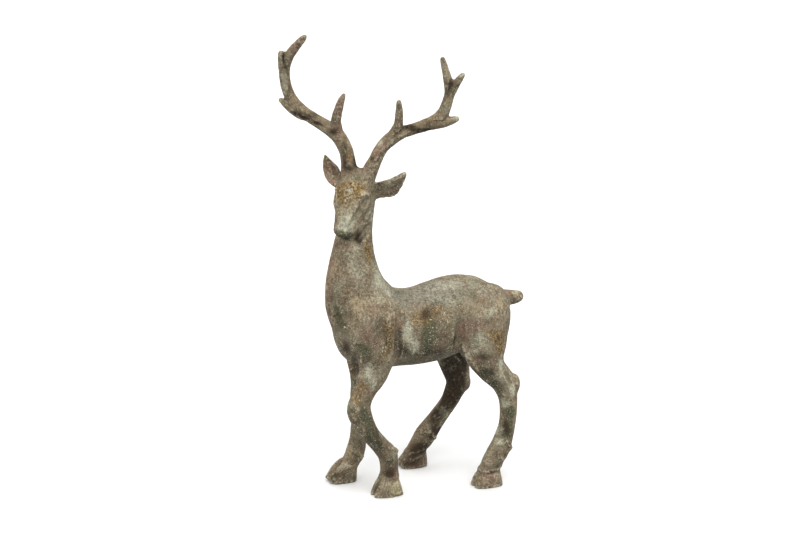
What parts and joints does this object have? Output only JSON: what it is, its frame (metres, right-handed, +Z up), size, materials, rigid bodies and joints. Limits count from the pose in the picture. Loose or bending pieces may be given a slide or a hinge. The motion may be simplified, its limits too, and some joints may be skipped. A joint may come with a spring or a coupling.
{
  "type": "reindeer figurine",
  "caption": "Standing reindeer figurine with raised branching antlers, head turned to its left, cast in one piece with an aged mottled finish, standing on its hooves.",
  "frame": {"origin": "on the ground plane, at the centre of the footprint of the whole figurine's box", "axes": "+Z up; the body faces -Y, and the animal's own left side is +X"},
  "size_m": [0.1313, 0.2448, 0.4457],
  "materials": {
    "aged_cast_finish": "matt mottled grey-brown casting with greenish and ochre patina"
  },
  "bodies": {
    "root": {"reindeer": "aged_cast_finish"}
  },
  "joints": []
}
